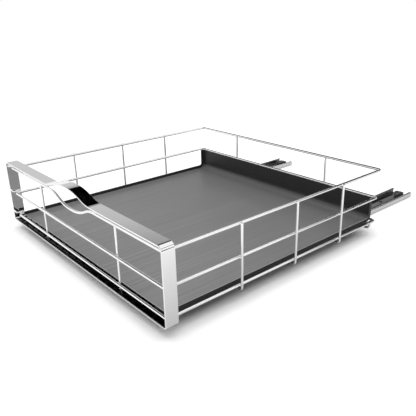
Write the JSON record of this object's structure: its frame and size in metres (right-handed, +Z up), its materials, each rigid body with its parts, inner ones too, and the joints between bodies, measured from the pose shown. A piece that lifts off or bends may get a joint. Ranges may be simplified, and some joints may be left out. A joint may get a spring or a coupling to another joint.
{
  "type": "pull-out cabinet organizer",
  "caption": "Chrome wire basket with a folded grey liner and an arched grip, that rolls out of a cabinet on two flat-lying ball-bearing slides.",
  "frame": {"origin": "centre of the rectangle of mounting holes of the two cabinet members, on the cabinet floor under them", "axes": "+X to the right as seen from the open front of the cabinet, +Y into the cabinet, +Z up"},
  "size_m": [0.508, 0.7068, 0.1468],
  "materials": {
    "chrome_strap": "polished",
    "chrome_wire": "polished",
    "liner_grey": "satin, with faint streaks from front to back",
    "slide_steel": "zinc plated, satin",
    "cage_steel": "satin",
    "ball_steel": "polished",
    "clamp_steel": "satin",
    "screw_steel": "satin",
    "black_plastic": "moulded, matte",
    "buffer_rubber": "matte"
  },
  "bodies": {
    "cabinet_slides": {"left_cabinet_member": "slide_steel", "left_stop_block": "black_plastic", "left_stop_rivets": "screw_steel", "right_cabinet_member": "slide_steel", "right_stop_block": "black_plastic", "right_stop_rivets": "screw_steel"},
    "right_middle": {"right_middle_member": "slide_steel", "right_middle_buffer": "buffer_rubber"},
    "right_outer_cage": {"right_outer_ball_cage": "cage_steel", "right_outer_balls": "ball_steel"},
    "right_inner_cage": {"right_inner_ball_cage": "cage_steel", "right_inner_balls": "ball_steel"},
    "left_middle": {"left_middle_member": "slide_steel", "left_middle_buffer": "buffer_rubber"},
    "left_outer_cage": {"left_outer_ball_cage": "cage_steel", "left_outer_balls": "ball_steel"},
    "left_inner_cage": {"left_inner_ball_cage": "cage_steel", "left_inner_balls": "ball_steel"},
    "basket": {"front_frame_band": "chrome_strap", "frame_spacers": "chrome_wire", "top_rim_wire": "chrome_wire", "middle_rail_wire": "chrome_wire", "bottom_rail_wire": "chrome_wire", "front_side_hoop": "chrome_wire", "centre_side_hoop": "chrome_wire", "rear_side_hoop": "chrome_wire", "front_upright_wires": "chrome_wire", "rear_upright_wires": "chrome_wire", "floor_wires": "chrome_wire", "rear_hook_wire": "chrome_wire", "liner_tray": "liner_grey", "clamp_screws": "screw_steel", "left_drawer_member": "slide_steel", "left_slide_clamps": "clamp_steel", "right_drawer_member": "slide_steel", "right_slide_clamps": "clamp_steel"}
  },
  "joints": [
    {"name": "right_middle_slide", "type": "slide", "parent": "cabinet_slides", "child": "right_middle", "axis": [0, -1, 0], "range_m": [-0.003, 0.222]},
    {"name": "left_middle_slide", "type": "slide", "parent": "cabinet_slides", "child": "left_middle", "axis": [0, -1, 0], "range_m": [-0.003, 0.222]},
    {"name": "basket_slide", "type": "slide", "parent": "right_middle", "child": "basket", "axis": [0, -1, 0], "range_m": [-0.222, 0]},
    {"name": "right_outer_cage_slide", "type": "slide", "parent": "cabinet_slides", "child": "right_outer_cage", "axis": [0, -1, 0], "range_m": [-0.0015, 0.111]},
    {"name": "left_outer_cage_slide", "type": "slide", "parent": "cabinet_slides", "child": "left_outer_cage", "axis": [0, -1, 0], "range_m": [-0.0015, 0.111]},
    {"name": "right_inner_cage_slide", "type": "slide", "parent": "right_middle", "child": "right_inner_cage", "axis": [0, -1, 0], "range_m": [-0.111, 0]},
    {"name": "left_inner_cage_slide", "type": "slide", "parent": "left_middle", "child": "left_inner_cage", "axis": [0, -1, 0], "range_m": [-0.111, 0]}
  ],
  "couplings": [
    {"joint": "left_middle_slide", "follows": "right_middle_slide", "ratio": 1},
    {"joint": "right_outer_cage_slide", "follows": "right_middle_slide", "ratio": 0.5},
    {"joint": "left_outer_cage_slide", "follows": "right_middle_slide", "ratio": 0.5},
    {"joint": "right_inner_cage_slide", "follows": "basket_slide", "ratio": 0.5},
    {"joint": "left_inner_cage_slide", "follows": "basket_slide", "ratio": 0.5}
  ]
}
